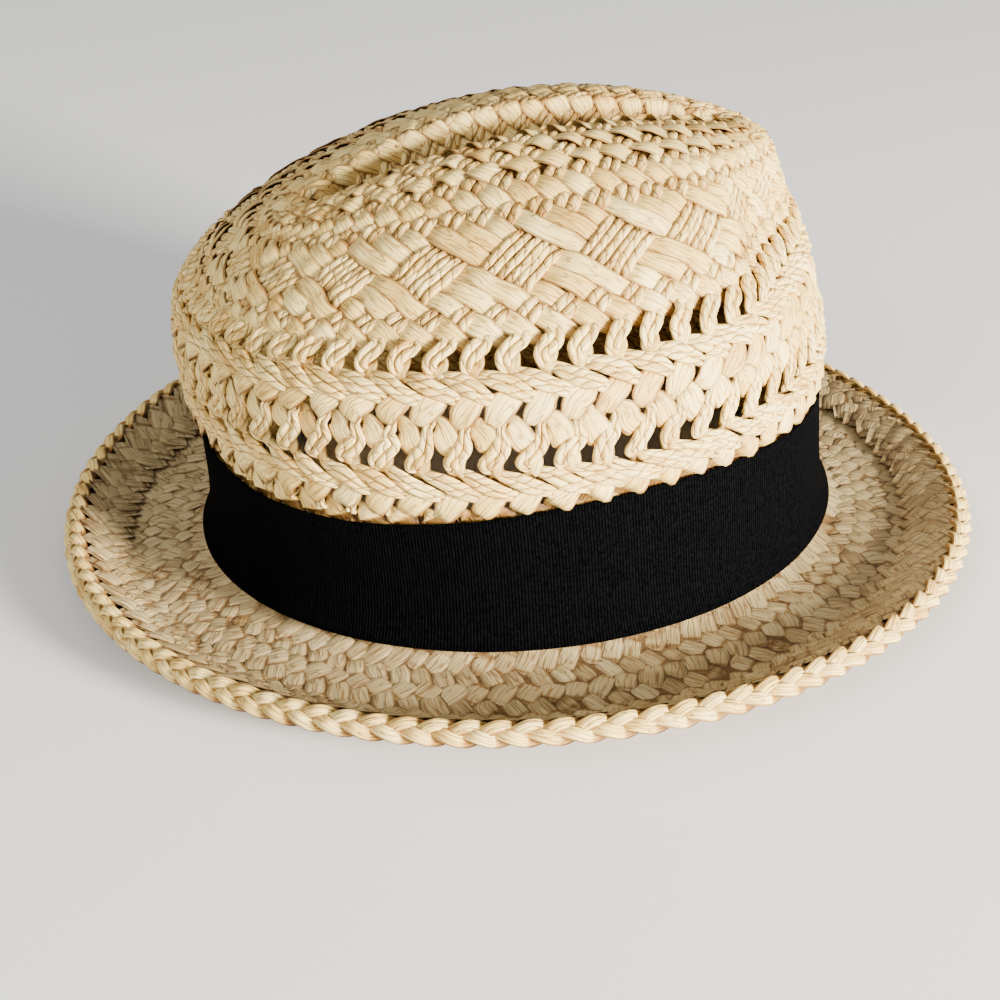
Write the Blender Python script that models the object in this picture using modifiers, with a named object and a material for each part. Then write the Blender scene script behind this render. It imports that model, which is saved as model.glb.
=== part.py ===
"""Straw fedora: a pinched crown with two rows of openwork, a brim with a turned-up hem, a rolled edge
braid round the rim and a ribbon band. The front faces -Y and the brim rests on the plane z = 0."""

import math

import bmesh
import bpy
from mathutils import Vector

MM = 0.001
NAME = "straw_fedora"
GAP = 0.3 * MM
COLUMNS = 60

HEAD_HALF_WIDTH = 90 * MM
HEAD_HALF_LENGTH = 99 * MM
CROWN_FOOT_HEIGHT = 8 * MM
WALL_TOP_HEIGHT = 77 * MM
RIDGE_HEIGHT = 134.5 * MM
CROWN_THICKNESS = 3 * MM

# The wall is this share of the way from the foot to the ridges, and the dome is the rest.
WALL_SHARE = 0.38
FOOT_FLARE = 2 * MM
FOOT_FLARE_SHARE = 0.3
WALL_SWELL = 0.8 * MM
SWELL_START = 0.5
WALL_LEAN = 4.8 * MM

# How squarely the dome turns in: a larger reach is rounder in plan, a larger rise flatter at the shoulder.
FRONT_REACH = 0.85
BACK_REACH = 1.65
DOME_RISE = 1.05
RIDGE_HALF_GAP = 13 * MM
RIDGE_FRONT_WIDENING = 0.11
RIDGE_HALF_LENGTH = 70 * MM
RIDGE_SHIFT = -2.7 * MM
RIDGE_SLOPE = 2.6 * MM
RIDGE_END_DROP = 13.3 * MM

# The two dents at the front, one on each side.
PINCH_PLACE = -0.84
PINCH_SPAN = 0.25
PINCH_UP = 0.62
PINCH_UP_SPAN = 0.16
PINCH_DEPTH = 13 * MM
PINCH_BACKSET = 11 * MM
PINCH_SIDE_POWER = 0.7

CREASE_DEPTH = 22 * MM
CREASE_END = 18 * MM
CREASE_FLOOR = 0.87

# Rows of the crown from foot to ridge (1) and on to the bottom of the crease (2), and which rows are pierced.
CROWN_ROWS = (
    # share, pierced up to the next row
    (0.0, False),
    (0.08, False),
    (0.16, False),
    (0.24, False),
    (0.312, True),
    (0.362, False),
    (0.43, False),
    (0.502, True),
    (0.552, False),
    (0.62, False),
    (0.69, False),
    (0.76, False),
    (0.83, False),
    (0.89, False),
    (0.95, False),
    (1.0, False),
    (1.25, False),
    (1.5, False),
    (1.75, False),
    (2.0, False),
)
HOLE_MARGIN = 1.9 * MM

BAND_ROWS = (0.0, 0.08, 0.16, 0.24)
BAND_THICKNESS = 1.2 * MM
BAND_FOOT_LIFT = 1.0 * MM

BRIM_SIDE_REACH = 55 * MM
BRIM_END_REACH = 48 * MM
EDGE_BRAID_WIDTH = 7 * MM
EDGE_BRAID_HEIGHT = 8 * MM
EDGE_BRAID_SIDES = 8
RIM_RISE = 7 * MM
RIM_BACK_RISE = 2 * MM
RIM_SIDE_RISE = 2.5 * MM
HEM_MIDDLE = 2.6 * MM

# Cross-section of the brim, round from the lip under the crown along the upper side, and back underneath.
# The distance out is the first value plus the second value's share of the brim's width. The last value is
# the share of the rim's rise that the point takes part in.
BRIM_SECTION = (
    # out, share of width, height, share of rise
    (2.0 * MM, 0.0, 7.7 * MM, 0.0),
    (3.6 * MM, 0.0, 6.1 * MM, 0.0),
    (8.0 * MM, 0.0, 5.0 * MM, 0.0),
    (0.0, 0.42, 3.9 * MM, 0.0),
    (0.0, 0.66, 3.2 * MM, 0.04),
    (0.0, 0.67, 5.0 * MM, 0.06),
    (0.0, 0.84, 5.0 * MM, 0.45),
    (0.0, 1.0, 5.0 * MM, 1.0),
    (0.0, 1.0, 0.2 * MM, 1.0),
    (0.0, 0.84, 0.1 * MM, 0.42),
    (0.0, 0.70, 0.0, 0.0),
    (0.0, 0.50, 0.0, 0.0),
    (9.0 * MM, 0.0, 1.7 * MM, 0.0),
    (3.0 * MM, 0.0, 2.9 * MM, 0.0),
    (0.3 * MM, 0.0, 4.4 * MM, 0.0),
    (-1.0 * MM, 0.0, 7.1 * MM, 0.0),
)

STRAW = (0.80, 0.69, 0.50, 1.0)
STRAW_DARK = (0.72, 0.62, 0.44, 1.0)
RIBBON = (0.012, 0.012, 0.013, 1.0)
STRAW_ROUGHNESS = 0.75
RIBBON_ROUGHNESS = 0.9
MERGE = 0.01 * MM


def clear_scene():
    for thing in list(bpy.data.objects):
        bpy.data.objects.remove(thing, do_unlink=True)


def unit_share(value):
    return min(max(value, 0.0), 1.0)


def column_angle(column):
    return 2 * math.pi * column / COLUMNS


def wall_size(wall):
    """Half width, half length and backward lean of the crown at a share of the wall's height."""
    flare = FOOT_FLARE * (1 - unit_share(wall / FOOT_FLARE_SHARE)) ** 2
    swell = WALL_SWELL * math.sin(math.pi / 2 * unit_share((wall - SWELL_START) / (1 - SWELL_START))) ** 2
    growth = flare + swell
    return HEAD_HALF_WIDTH + growth, HEAD_HALF_LENGTH + growth, WALL_LEAN * wall**2


def ridge_point(side, back):
    x = RIDGE_HALF_GAP * (1 - RIDGE_FRONT_WIDENING * back) * side
    y = RIDGE_SHIFT + RIDGE_HALF_LENGTH * back
    return x, y, RIDGE_HEIGHT - RIDGE_SLOPE * back - RIDGE_END_DROP * back**2


def pinch_strength(side, back, up):
    along = math.exp(-(((back - PINCH_PLACE) / PINCH_SPAN) ** 2))
    height = math.exp(-(((up - PINCH_UP) / PINCH_UP_SPAN) ** 2))
    return along * height * abs(side) ** PINCH_SIDE_POWER


def crease_point(side, back, inward):
    x, y, z = ridge_point(side, back)
    floor = unit_share(inward / CREASE_FLOOR)
    drop = CREASE_DEPTH * (1 - math.cos(math.pi * floor)) / 2
    return Vector((x * (1 - inward), y - CREASE_END * back * inward, z - drop))


def crown_point(angle, up):
    """Outside of the crown: up runs from 0 at the foot to 1 on the ridges and 2 in the crease."""
    side = math.cos(angle)
    back = math.sin(angle)
    if up > 1:
        return crease_point(side, back, up - 1)
    width, length, lean = wall_size(unit_share(up / WALL_SHARE))
    x = width * side
    y = length * back + lean
    if up <= WALL_SHARE:
        z = CROWN_FOOT_HEIGHT + (WALL_TOP_HEIGHT - CROWN_FOOT_HEIGHT) * up / WALL_SHARE
    else:
        turn = math.pi / 2 * (up - WALL_SHARE) / (1 - WALL_SHARE)
        reach = FRONT_REACH * (1 - back) / 2 + BACK_REACH * (1 + back) / 2
        inward = 1 - max(math.cos(turn), 0.0) ** reach
        ridge_x, ridge_y, ridge_z = ridge_point(side, back)
        x += (ridge_x - x) * inward
        y += (ridge_y - y) * inward
        z = WALL_TOP_HEIGHT + (ridge_z - WALL_TOP_HEIGHT) * math.sin(turn) ** DOME_RISE
    pinch = pinch_strength(side, back, up)
    x -= math.copysign(PINCH_DEPTH * pinch, side)
    y += PINCH_BACKSET * pinch
    return Vector((x, y, z))


def brim_width(angle):
    """Width of the woven brim from the head line out to the edge braid."""
    reach = BRIM_SIDE_REACH * math.cos(angle) ** 2 + BRIM_END_REACH * math.sin(angle) ** 2
    return reach - EDGE_BRAID_WIDTH - GAP


def rim_rise(angle):
    return RIM_RISE + RIM_BACK_RISE * math.sin(angle) + RIM_SIDE_RISE * math.cos(2 * angle)


def brim_point(angle, out, height):
    x = (HEAD_HALF_WIDTH + out) * math.cos(angle)
    y = (HEAD_HALF_LENGTH + out) * math.sin(angle)
    return Vector((x, y, height))


def straw_material(name, colour, roughness):
    material = bpy.data.materials.new(name)
    material.use_nodes = True
    shader = material.node_tree.nodes["Principled BSDF"]
    shader.inputs["Base Color"].default_value = colour
    shader.inputs["Roughness"].default_value = roughness
    return material


def grid_mesh(rows):
    """A grid of one cell per column and row, and the cell of each vertex and face in it."""
    mesh = bmesh.new()
    bmesh.ops.create_grid(mesh, x_segments=COLUMNS, y_segments=rows, size=0.5)
    vertex_cells = [
        (round((vertex.co.x + 0.5) * COLUMNS), round((vertex.co.y + 0.5) * rows)) for vertex in mesh.verts
    ]
    face_rows = [int((face.calc_center_median().y + 0.5) * rows) for face in mesh.faces]
    return mesh, vertex_cells, face_rows


def finish_mesh(mesh, name, collection, material):
    bmesh.ops.remove_doubles(mesh, verts=mesh.verts, dist=MERGE)
    bmesh.ops.recalc_face_normals(mesh, faces=mesh.faces)
    for face in mesh.faces:
        face.smooth = True
    data = bpy.data.meshes.new(name)
    mesh.to_mesh(data)
    mesh.free()
    data.materials.append(material)
    piece = bpy.data.objects.new(name, data)
    collection.objects.link(piece)
    return piece


def thicken(piece, thickness, offset):
    solidify = piece.modifiers.new("thickness", "SOLIDIFY")
    solidify.thickness = thickness
    solidify.offset = offset
    solidify.use_even_offset = False


def build_crown(collection):
    mesh, cells, face_rows = grid_mesh(len(CROWN_ROWS) - 1)
    mesh.faces.ensure_lookup_table()
    pierced = [mesh.faces[i] for i, row in enumerate(face_rows) if CROWN_ROWS[row][1]]
    for vertex, (column, row) in zip(mesh.verts, cells):
        vertex.co = crown_point(column_angle(column), CROWN_ROWS[row][0])
    bmesh.ops.inset_individual(mesh, faces=pierced, thickness=HOLE_MARGIN)
    bmesh.ops.delete(mesh, geom=pierced, context="FACES")
    crown = finish_mesh(mesh, "crown", collection, straw_material("crown_straw", STRAW, STRAW_ROUGHNESS))
    thicken(crown, CROWN_THICKNESS, -1.0)


def outward(angle):
    """Level direction that points away from the wall at this angle."""
    return Vector((HEAD_HALF_LENGTH * math.cos(angle), HEAD_HALF_WIDTH * math.sin(angle), 0.0)).normalized()


def build_band(collection):
    mesh, cells, _ = grid_mesh(len(BAND_ROWS) - 1)
    foot_lift = Vector((0.0, 0.0, BAND_FOOT_LIFT))
    for vertex, (column, row) in zip(mesh.verts, cells):
        angle = column_angle(column)
        lift = foot_lift if row == 0 else Vector()
        vertex.co = crown_point(angle, BAND_ROWS[row]) + lift + GAP * outward(angle)
    band = finish_mesh(mesh, "hat_band", collection, straw_material("ribbon", RIBBON, RIBBON_ROUGHNESS))
    thicken(band, BAND_THICKNESS, 1.0)


def build_brim(collection):
    mesh, cells, _ = grid_mesh(len(BRIM_SECTION))
    for vertex, (column, row) in zip(mesh.verts, cells):
        angle = column_angle(column)
        out, share, height, rise = BRIM_SECTION[row % len(BRIM_SECTION)]
        vertex.co = brim_point(angle, out + share * brim_width(angle), height + rise * rim_rise(angle))
    finish_mesh(mesh, "brim", collection, straw_material("brim_straw", STRAW_DARK, STRAW_ROUGHNESS))


def build_edge_braid(collection):
    mesh, cells, _ = grid_mesh(EDGE_BRAID_SIDES)
    half_turn = math.pi / EDGE_BRAID_SIDES
    half_width = EDGE_BRAID_WIDTH / 2 / math.cos(half_turn)
    half_height = EDGE_BRAID_HEIGHT / 2 / math.cos(half_turn)
    for vertex, (column, row) in zip(mesh.verts, cells):
        angle = column_angle(column)
        turn = half_turn * (2 * row + 1)
        out = brim_width(angle) + GAP + EDGE_BRAID_WIDTH / 2 + half_width * math.cos(turn)
        vertex.co = brim_point(angle, out, HEM_MIDDLE + rim_rise(angle) + half_height * math.sin(turn))
    finish_mesh(mesh, "brim_edge_braid", collection, straw_material("edge_straw", STRAW, STRAW_ROUGHNESS))


def build():
    clear_scene()
    collection = bpy.data.collections.new(NAME)
    bpy.context.scene.collection.children.link(collection)
    build_crown(collection)
    build_band(collection)
    build_brim(collection)
    build_edge_braid(collection)


build()
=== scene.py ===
"""Dressed straw fedora: every cord and flat of the open-worked crown, the plaited brim with its hem,
the rim plait and the ribbon, laid on the same surfaces as the solids. Lengths are in millimetres
until a mesh is made."""

import math

import bpy
import numpy as np
from mathutils import Matrix, Vector


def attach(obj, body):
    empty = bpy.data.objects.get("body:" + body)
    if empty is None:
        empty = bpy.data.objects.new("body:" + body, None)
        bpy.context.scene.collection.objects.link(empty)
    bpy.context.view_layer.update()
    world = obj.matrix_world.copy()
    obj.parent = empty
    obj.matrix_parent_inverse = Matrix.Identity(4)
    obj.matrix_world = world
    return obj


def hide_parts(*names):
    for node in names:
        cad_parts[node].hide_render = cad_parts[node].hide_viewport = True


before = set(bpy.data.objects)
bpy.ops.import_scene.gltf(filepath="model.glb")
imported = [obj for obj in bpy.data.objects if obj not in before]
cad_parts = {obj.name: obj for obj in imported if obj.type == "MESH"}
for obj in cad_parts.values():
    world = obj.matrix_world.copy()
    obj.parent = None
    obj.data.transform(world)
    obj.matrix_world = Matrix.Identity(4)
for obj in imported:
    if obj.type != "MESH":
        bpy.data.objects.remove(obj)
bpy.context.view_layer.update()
MM = 0.001
SEED = 11
FULL_TURN = 2 * np.pi
TINY = 1e-9

# The solids' own sizes.
HEAD_HALF_WIDTH = 90.0
HEAD_HALF_LENGTH = 99.0
CROWN_FOOT_HEIGHT = 8.0
WALL_TOP_HEIGHT = 77.0
RIDGE_HEIGHT = 134.5
WALL_SHARE = 0.38
FOOT_FLARE = 2.0
FOOT_FLARE_SHARE = 0.3
WALL_SWELL = 0.8
SWELL_START = 0.5
WALL_LEAN = 4.8
FRONT_REACH = 0.85
BACK_REACH = 1.65
DOME_RISE = 1.05
RIDGE_HALF_GAP = 13.0
RIDGE_FRONT_WIDENING = 0.11
RIDGE_HALF_LENGTH = 70.0
RIDGE_SHIFT = -2.7
RIDGE_SLOPE = 2.6
RIDGE_END_DROP = 13.3
PINCH_PLACE = -0.84
PINCH_SPAN = 0.25
PINCH_UP = 0.62
PINCH_UP_SPAN = 0.16
PINCH_DEPTH = 13.0
PINCH_BACKSET = 11.0
PINCH_SIDE_POWER = 0.7
CREASE_DEPTH = 22.0
CREASE_END = 18.0
CREASE_FLOOR = 0.87
BRIM_SIDE_REACH = 55.0
BRIM_END_REACH = 48.0
EDGE_WIDTH = 7.3
RIM_RISE = 7.0
RIM_BACK_RISE = 2.0
RIM_SIDE_RISE = 2.5
HEM_MIDDLE = 2.6

# The camera stands where the photograph was taken from.
AZIMUTH = -112.0
ELEVATION = 29.9
ROLL = -1.28
DISTANCE = 700.0
FOCAL_PIXELS = 2119.0
IMAGE_PIXELS = 1000.0
SHIFT_RIGHT = 18.3
SHIFT_DOWN = 11.2
SENSOR = 36.0
NEAREST = 0.01

# Strands of each family around the crown: below, and in the plain weave at the top.
COLUMNS = 60
TOP_COLUMNS = 36
FIRST_POST_ANGLE = math.radians(161.5)

# Height up the side of the crown, in mm along the wall, of each row of crossings.
POST_ARC = 92.0
LOWER_ROWS = (92.0, 100.5, 104.8, 108.8, 112.7, 116.6, 120.5, 124.4, 128.3, 132.6, 138.5, 145.0, 151.2, 157.0)
TOP_ROWS = (152.0, 157.2, 162.2, 167.0, 171.5, 176.0, 180.5, 185.0, 189.5, 194.0, 198.0, 201.0)
# Height of the ribbon's upper edge, which dips and rises a little around the crown: mean, then for one, two
# and three waves around the parts along the side and along the back.
BAND_TOP = 48.8
BAND_TOP_WAVES = ((-0.2, -0.3), (1.5, 0.9), (-2.5, -0.3))

rng = np.random.default_rng(SEED)


def share(value):
    return np.clip(value, 0.0, 1.0)


def unit(vectors):
    return vectors / np.maximum(np.linalg.norm(vectors, axis=-1, keepdims=True), TINY)


def cell(place):
    """Index of the cell that each place on a grid lies in, and how far into the cell it is."""
    index = np.floor(place).astype(int)
    return index, place - index


# Surfaces


def crown_surface(angle, up):
    """Outside of the crown in mm: up runs from 0 at the foot to 1 on the ridges and 2 in the crease."""
    angle, up = np.broadcast_arrays(angle, up)
    side, back = np.cos(angle), np.sin(angle)
    wall = share(up / WALL_SHARE)
    flare = FOOT_FLARE * (1 - share(wall / FOOT_FLARE_SHARE)) ** 2
    swell = WALL_SWELL * np.sin(np.pi / 2 * share((wall - SWELL_START) / (1 - SWELL_START))) ** 2
    x = (HEAD_HALF_WIDTH + flare + swell) * side
    y = (HEAD_HALF_LENGTH + flare + swell) * back + WALL_LEAN * wall**2
    z = CROWN_FOOT_HEIGHT + (WALL_TOP_HEIGHT - CROWN_FOOT_HEIGHT) * wall
    turn = np.pi / 2 * share((up - WALL_SHARE) / (1 - WALL_SHARE))
    reach = FRONT_REACH * (1 - back) / 2 + BACK_REACH * (1 + back) / 2
    inward = 1 - np.maximum(np.cos(turn), 0.0) ** reach
    ridge_x = RIDGE_HALF_GAP * (1 - RIDGE_FRONT_WIDENING * back) * side
    ridge_y = RIDGE_SHIFT + RIDGE_HALF_LENGTH * back
    ridge_z = RIDGE_HEIGHT - RIDGE_SLOPE * back - RIDGE_END_DROP * back**2
    x = x + (ridge_x - x) * inward
    y = y + (ridge_y - y) * inward
    z = z + (ridge_z - WALL_TOP_HEIGHT) * np.sin(turn) ** DOME_RISE
    along = np.exp(-(((back - PINCH_PLACE) / PINCH_SPAN) ** 2))
    pinch = along * np.exp(-(((up - PINCH_UP) / PINCH_UP_SPAN) ** 2)) * np.abs(side) ** PINCH_SIDE_POWER
    x = x - np.sign(side) * PINCH_DEPTH * pinch
    y = y + PINCH_BACKSET * pinch
    deep = share(up - 1)
    drop = CREASE_DEPTH * (1 - np.cos(np.pi * share(deep / CREASE_FLOOR))) / 2
    crease = np.stack([ridge_x * (1 - deep), ridge_y - CREASE_END * back * deep, ridge_z - drop], -1)
    return np.where((up > 1)[..., None], crease, np.stack([x, y, z], -1))


class Skin:
    """A surface sampled on a grid of angle and level, read back with its outward direction."""

    ANGLES = 480
    # Keeps a level inside the last cell of its grid.
    LAST_CELL = 1.001

    def __init__(self, surface, top_level, levels):
        self.top_level, self.levels = top_level, levels
        angle = np.linspace(0, FULL_TURN, self.ANGLES, endpoint=False)[:, None]
        level = np.linspace(0, top_level, levels)[None, :]
        self.points = surface(angle, level)
        around = np.roll(self.points, -1, 0) - np.roll(self.points, 1, 0)
        upward = np.gradient(self.points, axis=1)
        self.outward = unit(np.cross(around, upward))

    def grid_level(self, level):
        return np.clip(level / self.top_level * (self.levels - 1), 0, self.levels - self.LAST_CELL)

    def at(self, angle, level):
        """Points and outward directions at these angles and levels."""
        i, along = cell((angle / FULL_TURN * self.ANGLES) % self.ANGLES)
        j, up = cell(self.grid_level(level))
        along, up = along[..., None], up[..., None]
        i = i % self.ANGLES
        k = (i + 1) % self.ANGLES

        def mix(grid):
            low = grid[i, j] * (1 - along) + grid[k, j] * along
            high = grid[i, j + 1] * (1 - along) + grid[k, j + 1] * along
            return low * (1 - up) + high * up

        return mix(self.points), unit(mix(self.outward))


CROWN_TOP_LEVEL = 2.0
CROWN_LEVELS = 401
CROWN = Skin(crown_surface, CROWN_TOP_LEVEL, CROWN_LEVELS)


def arc_table():
    """Lengths up the side of the crown from its foot, and the level at each."""
    level = np.linspace(0, CROWN_TOP_LEVEL, CROWN_LEVELS)
    line = crown_surface(np.full(CROWN_LEVELS, np.pi), level)
    steps = np.linalg.norm(np.diff(line, axis=0), axis=1)
    return np.concatenate([[0], np.cumsum(steps)]), level


ARCS, ARC_LEVELS = arc_table()


def level_of(arc):
    return np.interp(arc, ARCS, ARC_LEVELS)


# Keeps the way around increasing where a ring of the crown closes to a line.
LEAST_STEP = 1e-6


def even_angles():
    """For every level, the angles at even shares of the way around, counted from the first post."""
    shares = np.linspace(0, 1, Skin.ANGLES + 1)
    first = round(FIRST_POST_ANGLE / FULL_TURN * Skin.ANGLES)
    table = np.empty((CROWN_LEVELS, Skin.ANGLES + 1))
    for k in range(CROWN_LEVELS):
        ring = np.roll(CROWN.points[:, k], -first, 0)
        step = np.linalg.norm(np.roll(ring, -1, 0) - ring, axis=1) + LEAST_STEP
        around = np.concatenate([[0], np.cumsum(step)])
        table[k] = np.interp(shares, around / around[-1], shares)
    return table


EVEN = even_angles()


def even_angle(part, level):
    """Angle at this share of the way around the ring of the crown at this level."""
    whole = np.floor(part)
    i, along = cell((part - whole) * Skin.ANGLES)
    j, up = cell(CROWN.grid_level(level))
    low = EVEN[j, i] * (1 - along) + EVEN[j, i + 1] * along
    high = EVEN[j + 1, i] * (1 - along) + EVEN[j + 1, i + 1] * along
    return FIRST_POST_ANGLE + FULL_TURN * (whole + low * (1 - up) + high * up)


def wall_level(height):
    return (height - CROWN_FOOT_HEIGHT) / (WALL_TOP_HEIGHT - CROWN_FOOT_HEIGHT) * WALL_SHARE


def band_top(angle):
    """Height of the ribbon's upper edge."""
    return BAND_TOP + sum(
        a * np.cos((n + 1) * angle) + b * np.sin((n + 1) * angle) for n, (a, b) in enumerate(BAND_TOP_WAVES)
    )


# Strands


def spline(knots, per):
    """Smooth curve through knots (strands, knots, values), with this many samples to each knot."""
    first = 2 * knots[:, :1] - knots[:, 1:2]
    last = 2 * knots[:, -1:] - knots[:, -2:-1]
    p = np.concatenate([first, knots, last], 1)
    t = np.linspace(0, 1, per, endpoint=False)[None, None, :, None]
    p0, p1, p2, p3 = (p[:, k : p.shape[1] - 3 + k, None] for k in range(4))
    curve = 0.5 * (
        2 * p1 + (p2 - p0) * t + (2 * p0 - 5 * p1 + 4 * p2 - p3) * t**2 + (3 * p1 - p0 - 3 * p2 + p3) * t**3
    )
    strands, spans = curve.shape[:2]
    curve = curve.reshape(strands, spans * per, -1)
    return np.concatenate([curve, knots[:, -1:]], 1)


def frames(centre, outward):
    """Directions across each strand and out of the surface, square to the strand."""
    along = unit(np.gradient(centre, axis=1))
    across = unit(np.cross(outward, along))
    return across, np.cross(along, across)


# How far along the straw's pattern strands may start, in mm.
PATTERN_START = 300


def strand_mesh(name, rings, around, tint, painted_light, closed, material):
    """One mesh of many strands. rings is (strands, samples, points, 3) in mm, around the UV across each ring,
    tint one value a strand, and the painted light (strands, samples) sets the painted shade, from 0, darkest
    where tucked in, to 1, none on top."""
    strands, samples, points = rings.shape[:3]
    index = np.arange(strands * samples * points).reshape(strands, samples, points)
    across = np.concatenate([index, index[:, :, :1]], 2) if closed else index
    a, b = across[:, :-1, :-1], across[:, :-1, 1:]
    c, d = across[:, 1:, 1:], across[:, 1:, :-1]
    faces = np.stack([a, b, c, d], -1).reshape(-1, 4)
    mesh = bpy.data.meshes.new(name)
    mesh.vertices.add(index.size)
    mesh.vertices.foreach_set("co", (rings * MM).astype(np.float32).ravel())
    mesh.loops.add(faces.size)
    mesh.loops.foreach_set("vertex_index", faces.astype(np.int32).ravel())
    mesh.polygons.add(len(faces))
    mesh.polygons.foreach_set("loop_start", np.arange(0, faces.size, 4, dtype=np.int32))
    mesh.polygons.foreach_set("use_smooth", np.ones(len(faces), dtype=bool))
    mesh.update(calc_edges=True)
    middle = rings.mean(2)
    step = np.linalg.norm(np.diff(middle, axis=1), axis=-1)
    length = np.concatenate([np.zeros((strands, 1)), np.cumsum(step, 1)], 1)
    length = length + rng.uniform(0, PATTERN_START, (strands, 1))
    u = np.broadcast_to(length[:, :, None], (strands, samples, len(around)))
    v = np.broadcast_to(around[None, None, :], u.shape)
    grid = np.stack([u, v], -1)
    uv = np.stack([grid[:, :-1, :-1], grid[:, :-1, 1:], grid[:, 1:, 1:], grid[:, 1:, :-1]], -2)
    layer = mesh.uv_layers.new(name="strand")
    layer.uv.foreach_set("vector", (uv * MM).astype(np.float32).ravel())
    # Each strand's tint, and its painted light, which sets how much painted shade its material gets.
    for label, values in (("tint", np.broadcast_to(tint[:, None], (strands, samples))), ("painted_light", painted_light)):
        attribute = mesh.attributes.new(label, "FLOAT", "POINT")
        spread = np.broadcast_to(values[:, :, None], index.shape)
        attribute.data.foreach_set("value", spread.astype(np.float32).ravel())
    mesh.materials.append(material)
    piece = bpy.data.objects.new(name, mesh)
    bpy.context.scene.collection.objects.link(piece)
    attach(piece, "root")
    return piece


# Value across a flat at its edges, for its material.
EDGE_PLACE = 3.5
# Section of a flat: place across its half width, and lift in mm.
FLAT_SECTION = ((-1.0, -0.28), (-0.88, 0.02), (-0.35, 0.12), (0.35, 0.12), (0.88, 0.02), (1.0, -0.28))
# Value around a cord, so that its UV runs from 0 to 1.
CORD_AROUND = 1000
CORD_POINTS = 8
# Tint of a piece that isn't laid in strands.
PLAIN_TINT = np.array([0.5])


def ribbons(name, centre, outward, width, painted_light, material, body_slot, tilt):
    """Flat strips: centre and outward are (strands, samples, 3) and width (strands, samples)."""
    across, out = frames(centre, outward)
    place = np.array([a for a, _ in FLAT_SECTION])
    lift = np.array([b for _, b in FLAT_SECTION]) + tilt * place
    side = width[:, :, None, None] / 2 * place[None, None, :, None]
    rings = centre[:, :, None] + across[:, :, None] * side + out[:, :, None] * lift[None, None, :, None]
    tint = rng.uniform(0, 1, len(centre))
    return strand_mesh(name, rings, place * EDGE_PLACE, tint, painted_light, False, material)


def cords(name, centre, outward, offset, wide, high, painted_light, material):
    """Round or flattened cords: offset moves each sideways from the strand's centre line."""
    across, out = frames(centre, outward)
    turn = np.linspace(0, FULL_TURN, CORD_POINTS, endpoint=False)[None, None, :, None]
    middle = centre + across * offset[..., None]
    wide, high = wide[:, :, None, None] * np.cos(turn), high[:, :, None, None] * np.sin(turn)
    rings = middle[:, :, None] + across[:, :, None] * wide + out[:, :, None] * high
    around = np.linspace(0, CORD_AROUND, CORD_POINTS + 1)
    tint = rng.uniform(0, 1, len(centre))
    return strand_mesh(name, rings, around, tint, painted_light, True, material)


# Weave of the crown

# The patches of the pattern: they repeat after so many columns, and start and have their middle at these.
PATCH_COLUMNS = 3
PATCH_START = 4.5
PATCH_MIDDLE = 2.5
PATCH_ROWS = (4, 8)
PATCH_MIDDLE_ROW = 6
# How far a patch's cords bunch toward its middle: in columns, and in mm of height for each column.
PATCH_PULL = 0.10
PATCH_LIFT = 8.0
# Rows of crossings with a flat on top, and at which places of the repeat.
EVERY_PLACE = (0.0, 0.5, 1.0, 1.5, 2.0, 2.5)
FLAT_PLACES = {
    1: EVERY_PLACE,
    3: EVERY_PLACE,
    4: (0.5, 1.5),
    5: (1.0,),
    7: (1.0,),
    8: (0.5, 1.5),
    9: EVERY_PLACE,
    11: EVERY_PLACE,
}

# The openwork, one period down the wall from one post to the next. Columns are counted to the right.
PERIOD = 30.0
CORD_SHIFT = 1.3
FLAT_SHIFT = 0.3
CORD_PERIOD = (
    # column, down, height, spacing
    (0.46, -5.2, 0.5, 1.3),
    (0.24, -3.2, 1.3, 1.4),
    (0.00, -0.6, 1.6, 1.2),
    (-0.06, 1.6, 0.9, 1.0),
    (0.02, 3.0, -0.5, 0.85),
    (0.16, 3.6, -0.6, 0.85),
    (0.36, 4.2, 0.7, 0.95),
    (0.70, 5.9, 1.6, 1.3),
    (1.10, 8.1, 1.9, 1.3),
    (1.46, 10.2, 1.3, 1.05),
    (1.74, 12.4, -0.6, 0.85),
    (1.86, 15.0, -1.3, 0.7),
    (1.84, 17.4, -0.4, 0.6),
    (1.80, 19.4, 1.0, 0.7),
    (1.78, 21.6, 0.9, 0.85),
    (1.73, 24.2, 0.9, 1.25),
)
FLAT_PERIOD = (
    # column, down, height, width
    (0.10, -4.4, -1.0, 4.0),
    (0.30, -1.4, -0.3, 3.0),
    (0.26, 1.0, 0.5, 3.2),
    (0.16, 3.4, 0.8, 3.4),
    (0.06, 5.2, -0.4, 4.0),
    (0.10, 7.4, -1.3, 5.0),
    (0.16, 9.4, -0.4, 5.8),
    (0.04, 11.2, 1.1, 7.0),
    (-0.20, 13.6, 1.8, 7.6),
    (-0.40, 16.2, 1.6, 6.6),
    (-0.50, 18.2, 0.5, 4.2),
    (-0.44, 19.3, -0.7, 3.0),
    (-0.22, 18.6, -1.0, 3.0),
    (0.00, 17.4, -0.4, 4.6),
    (0.16, 19.2, 0.5, 6.6),
    (0.30, 21.9, 1.0, 7.6),
    (0.44, 25.0, 0.9, 7.8),
    (0.56, 27.2, -0.6, 5.0),
)
# The plain weave behind the ribbon: rows down the wall, lean in columns a row, middle height and sway
# about it, and sizes.
UNDER_BAND_ROWS = (61.0, 66.0, 71.0, 76.0, 81.0, 86.0, 91.5)
UNDER_BAND_LEAN = 0.5
UNDER_BAND_HEIGHT = -1.0
UNDER_BAND_SWAY = 0.5
UNDER_BAND_SPACING = 1.35
UNDER_BAND_WIDTH = 9.0

# Heights of a strand's middle over the wall's face where it lies over or under the other kind.
CORD_OVER, CORD_UNDER = -0.1, -1.6
CORD_LOWEST_UNDER = -0.9
FLAT_OVER, FLAT_UNDER = 1.1, -0.55
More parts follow.
